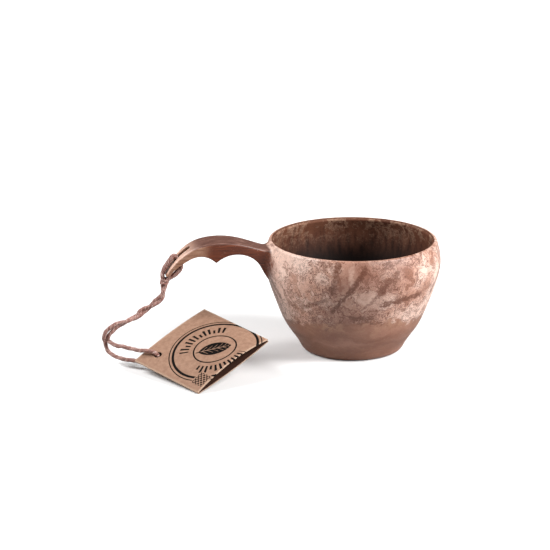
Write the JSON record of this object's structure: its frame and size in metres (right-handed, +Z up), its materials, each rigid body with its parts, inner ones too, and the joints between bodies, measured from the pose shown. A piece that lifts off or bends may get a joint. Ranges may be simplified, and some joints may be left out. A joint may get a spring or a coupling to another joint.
{
  "type": "kuksa drinking cup",
  "caption": "Small round drinking cup with a two-finger handle, a twisted lace through the handle's tip and a folded card tag on the lace.",
  "frame": {"origin": "centre of the cup's flat foot, on the surface it stands on", "axes": "+Z up along the bowl's axis, -X along the handle"},
  "size_m": [0.1866, 0.1155, 0.0647],
  "materials": {
    "cup": "smooth moulded wood-fibre composite, marbled, satin",
    "lace": "thin waxed leather cord",
    "card": "uncoated kraft card"
  },
  "bodies": {
    "cup": {"cup_body": "cup"},
    "lace_loop": {"lace_handle_loop": "lace"},
    "lace_upper": {"lace_upper_run": "lace"},
    "lace_lower": {"lace_lower_run": "lace"},
    "tag_back": {"tag_back_leaf": "card", "lace_strand_under": "lace"},
    "tag_front": {"tag_front_leaf": "card", "lace_strand_over": "lace"}
  },
  "joints": [
    {"name": "lace_turn", "type": "hinge", "parent": "cup", "child": "lace_loop", "pos_m": [-0.0957, 0, 0.0538], "axis": [-0.6691, 0, 0.7431], "range_deg": [-30, 30]},
    {"name": "lace_swing", "type": "hinge", "parent": "lace_loop", "child": "lace_upper", "pos_m": [-0.1039, 0, 0.0416], "axis": [0, 1, 0], "range_deg": [-40, 60]},
    {"name": "lace_bend", "type": "hinge", "parent": "lace_upper", "child": "lace_lower", "pos_m": [-0.119, -0.0034, 0.0247], "axis": [0, 1, 0], "range_deg": [-40, 40]},
    {"name": "tag_swing", "type": "hinge", "parent": "lace_lower", "child": "tag_back", "pos_m": [-0.13578, -0.00478, 0.00914], "axis": [0.6102, 0.7923, 0], "range_deg": [-28, 75]},
    {"name": "tag_open", "type": "hinge", "parent": "tag_back", "child": "tag_front", "pos_m": [-0.1228, -0.0248, 0.00655], "axis": [0.541, -0.8341, -0.108], "range_deg": [0, 100]}
  ]
}
